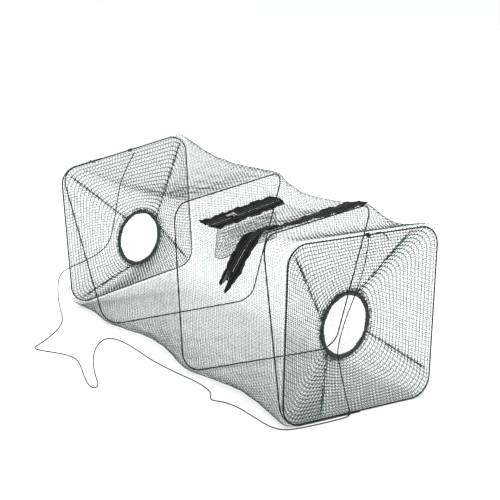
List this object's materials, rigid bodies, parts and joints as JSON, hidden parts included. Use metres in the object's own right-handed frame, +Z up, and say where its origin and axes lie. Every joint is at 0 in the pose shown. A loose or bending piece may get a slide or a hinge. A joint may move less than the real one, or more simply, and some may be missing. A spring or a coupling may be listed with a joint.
{
  "type": "folding crab trap",
  "caption": "Folding square-section net trap: a helical spring wire with a funnel and ring in each end, a zipped bait pocket, a long access zip and a thin haul cord.",
  "frame": {"origin": "on the ground under the middle of the trap", "axes": "+Z up, +X from the far end loop to the near end loop, the way the trap opens, -Y out of the front wall"},
  "size_m": [0.6186, 0.3782, 0.2636],
  "materials": {
    "spring_wire": "satin",
    "ring_wire": "satin",
    "netting": "matte",
    "thread": "matte",
    "zip_tape": "matte",
    "zip_coil": "satin",
    "zip_metal": "polished",
    "cord": "matte"
  },
  "bodies": {
    "root": {"far_end_loop": "spring_wire", "spring_turns": "spring_wire", "far_lap_tie": "thread", "far_loop_lacing": "thread", "far_cord_knot": "cord", "body_net_bottom": "netting", "body_net_back": "netting", "body_net_top": "netting", "body_net_front": "netting", "far_funnel_net": "netting", "near_funnel_net": "netting", "bait_pocket_net": "netting", "bait_zip_rear_tape": "zip_tape", "bait_zip_fore_tape": "zip_tape", "bait_zip_coil": "zip_coil", "bait_zip_back_stop": "zip_metal", "access_zip_fore_tape": "zip_tape", "access_zip_rear_tape": "zip_tape", "access_zip_coil": "zip_coil", "haul_cord": "cord"},
    "near_end": {"near_end_loop": "spring_wire", "near_lap_tie": "thread", "near_loop_lacing": "thread", "near_cord_knot": "cord"},
    "far_ring": {"far_funnel_ring": "ring_wire", "far_ring_lashing": "thread"},
    "near_ring": {"near_funnel_ring": "ring_wire", "near_ring_lashing": "thread"},
    "bait_zip_anchor": {"bait_zip_front_stop": "zip_metal"},
    "bait_slider": {"bait_zip_slider": "zip_metal"},
    "bait_pull": {"bait_zip_pull": "zip_metal"},
    "access_zip_anchor": {"access_zip_stop": "zip_metal"},
    "access_slider": {"access_zip_slider": "zip_metal"},
    "access_pull": {"access_zip_pull": "zip_metal"}
  },
  "joints": [
    {"name": "fold", "type": "slide", "parent": "root", "child": "near_end", "axis": [1, 0, 0], "range_m": [-0.575, 0], "stiffness_N_per_m": 6, "springref_m": 0.15, "deforming": ["spring_turns", "body_net_bottom", "body_net_back", "body_net_top", "body_net_front", "far_funnel_net", "near_funnel_net", "bait_pocket_net", "bait_zip_rear_tape", "bait_zip_fore_tape", "bait_zip_coil", "bait_zip_back_stop", "access_zip_fore_tape", "access_zip_rear_tape", "access_zip_coil", "haul_cord"]},
    {"name": "far_ring_fold", "type": "slide", "parent": "root", "child": "far_ring", "axis": [1, 0, 0], "range_m": [-0.03023, 0]},
    {"name": "near_ring_fold", "type": "slide", "parent": "root", "child": "near_ring", "axis": [1, 0, 0], "range_m": [-0.54387, 0]},
    {"name": "bait_zip_fold", "type": "slide", "parent": "root", "child": "bait_zip_anchor", "axis": [1, 0, 0], "range_m": [-0.36378, 0]},
    {"name": "access_zip_fold", "type": "slide", "parent": "root", "child": "access_zip_anchor", "axis": [1, 0, 0], "range_m": [-0.45015, 0]},
    {"name": "bait_slider_run", "type": "slide", "parent": "bait_zip_anchor", "child": "bait_slider", "axis": [-0.4226, 0.9063, 0.0102], "range_m": [-0.05, 0.112]},
    {"name": "bait_pull_swing", "type": "hinge", "parent": "bait_slider", "child": "bait_pull", "pos_m": [0.08016, -0.05174, 0.22366], "axis": [-0.87, -0.4088, 0.2756], "range_deg": [0, 150]},
    {"name": "access_slider_run", "type": "slide", "parent": "access_zip_anchor", "child": "access_slider", "axis": [0.6525, -0.0787, 0.7537], "range_m": [-0.004, 0.044]},
    {"name": "access_pull_swing", "type": "hinge", "parent": "access_slider", "child": "access_pull", "pos_m": [0.16897, -0.11881, 0.16838], "axis": [-0.7561, 0, 0.6545], "range_deg": [0, 150]}
  ],
  "couplings": [
    {"joint": "far_ring_fold", "follows": "fold", "ratio": 0.0517},
    {"joint": "near_ring_fold", "follows": "fold", "ratio": 0.945},
    {"joint": "bait_zip_fold", "follows": "fold", "ratio": 0.6318},
    {"joint": "access_zip_fold", "follows": "fold", "ratio": 0.782}
  ]
}
